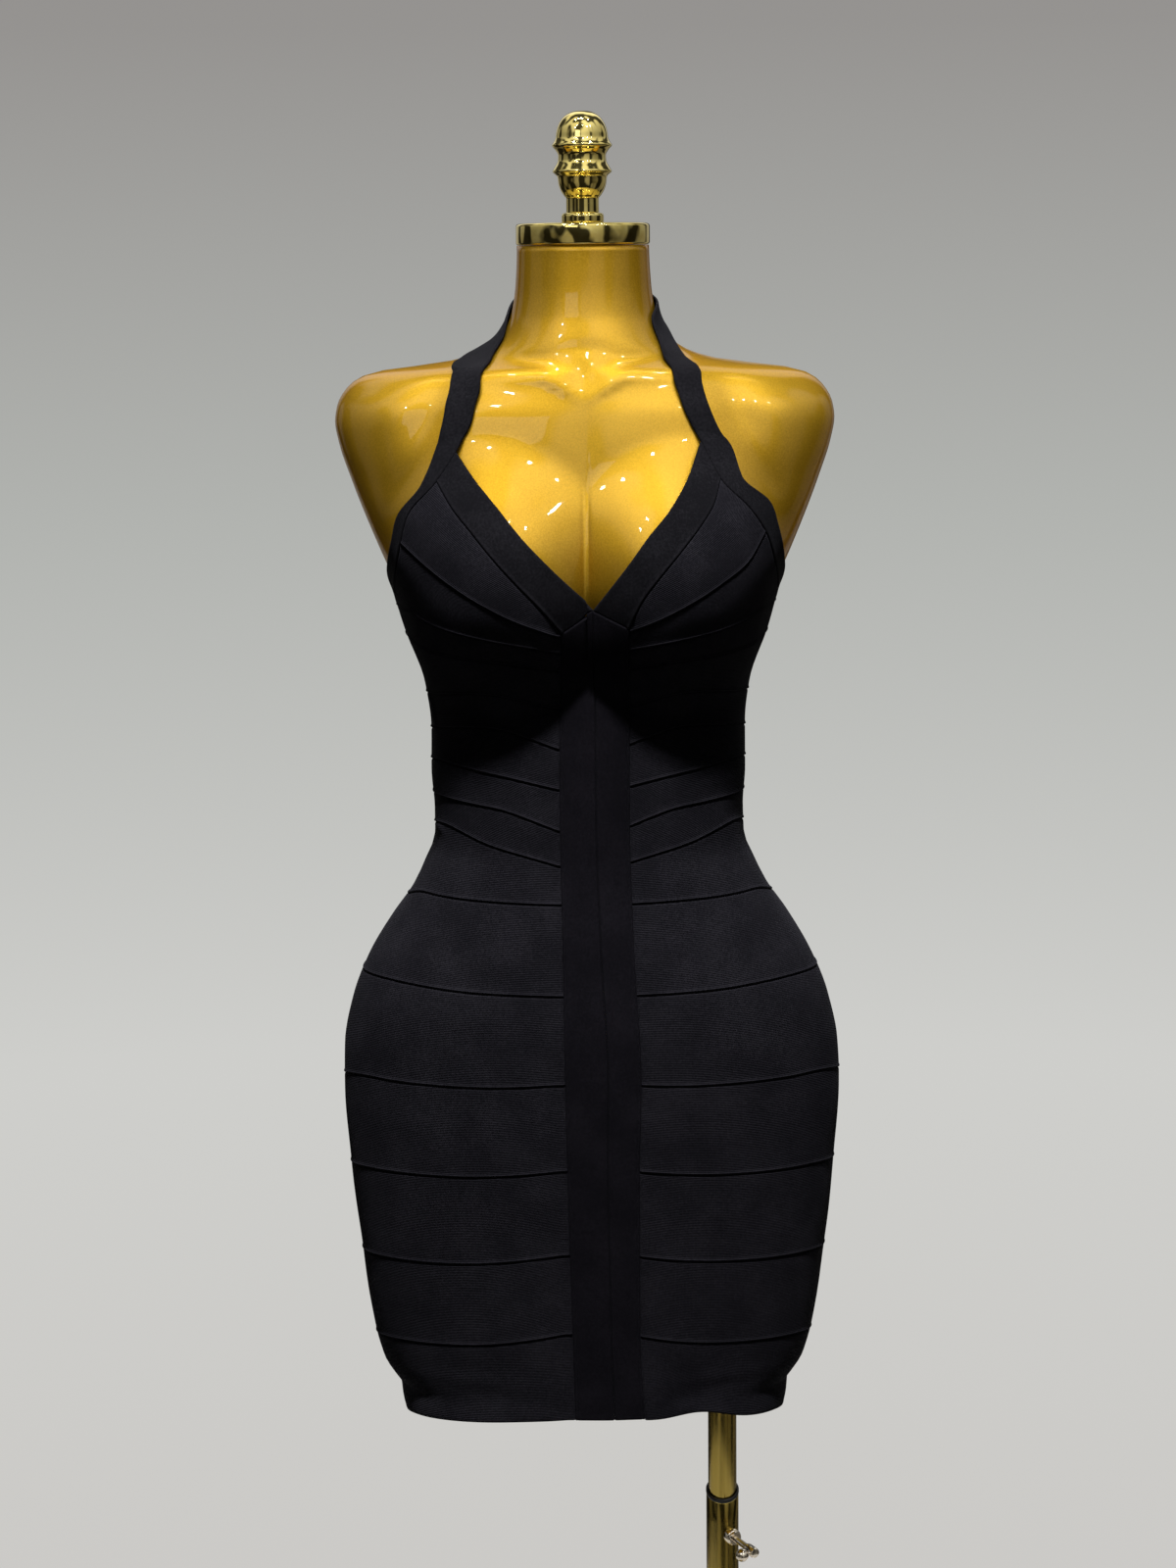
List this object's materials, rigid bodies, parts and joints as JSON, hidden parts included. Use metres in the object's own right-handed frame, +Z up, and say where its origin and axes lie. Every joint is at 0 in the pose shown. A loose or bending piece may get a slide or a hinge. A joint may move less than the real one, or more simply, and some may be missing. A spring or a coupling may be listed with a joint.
{
  "type": "bodycon dress on a dress form",
  "caption": "Black halter bodycon mini dress of sewn rib-knit bandage bands, worn by a gold limbless dress form on a telescoping brass stand.",
  "frame": {"origin": "on the floor, under the centre of the round base plate", "axes": "+Z up, the dress faces -Y, +X to its left hand side as worn"},
  "size_m": [0.3735, 0.34, 1.5914],
  "materials": {
    "knit": "fine rib knit of rayon and elastane, soft sheen along the ribs",
    "form_gold": "glossy metallic gold paint under clear lacquer",
    "brass": "polished and lacquered",
    "nickel": "warm nickel plate",
    "black_plastic": "moulded, satin"
  },
  "bodies": {
    "stand": {"base_plate": "brass", "base_socket": "brass", "outer_tube": "brass", "tube_collar": "black_plastic", "screw_boss": "nickel"},
    "post": {"inner_tube": "brass"},
    "dressed_form": {"dress_form": "form_gold", "neck_cap": "brass", "finial": "brass", "form_socket": "brass", "middle_strip_left": "knit", "middle_strip_right": "knit", "neck_band_left": "knit", "neck_band_right": "knit", "strap_left": "knit", "strap_right": "knit", "cup_band_1_left": "knit", "cup_band_1_right": "knit", "cup_band_2_left": "knit", "cup_band_2_right": "knit", "cup_band_3_left": "knit", "cup_band_3_right": "knit", "underbust_band_left": "knit", "underbust_band_right": "knit", "midriff_band_1_left": "knit", "midriff_band_1_right": "knit", "midriff_band_2_left": "knit", "midriff_band_2_right": "knit", "midriff_band_3_left": "knit", "midriff_band_3_right": "knit", "midriff_band_4_left": "knit", "midriff_band_4_right": "knit", "midriff_band_5_left": "knit", "midriff_band_5_right": "knit", "hip_band_1_left": "knit", "hip_band_1_right": "knit", "hip_band_2_left": "knit", "hip_band_2_right": "knit", "hip_band_3_left": "knit", "hip_band_3_right": "knit", "hip_band_4_left": "knit", "hip_band_4_right": "knit", "hip_band_5_left": "knit", "hip_band_5_right": "knit", "hem_band_left": "knit", "hem_band_right": "knit", "back_binding": "knit"},
    "thumbscrew": {"thumbscrew": "nickel"}
  },
  "joints": [
    {"name": "height_slide", "type": "slide", "parent": "stand", "child": "post", "axis": [0, 0, 1], "range_m": [-0.06, 0.15]},
    {"name": "form_swivel", "type": "hinge", "parent": "post", "child": "dressed_form", "pos_m": [0.0985, 0, 0.64], "axis": [0, 0, 1], "continuous": true},
    {"name": "thumbscrew_turn", "type": "hinge", "parent": "stand", "child": "thumbscrew", "pos_m": [0.0985, 0, 0.5095], "axis": [0.454, -0.891, 0], "continuous": true}
  ]
}
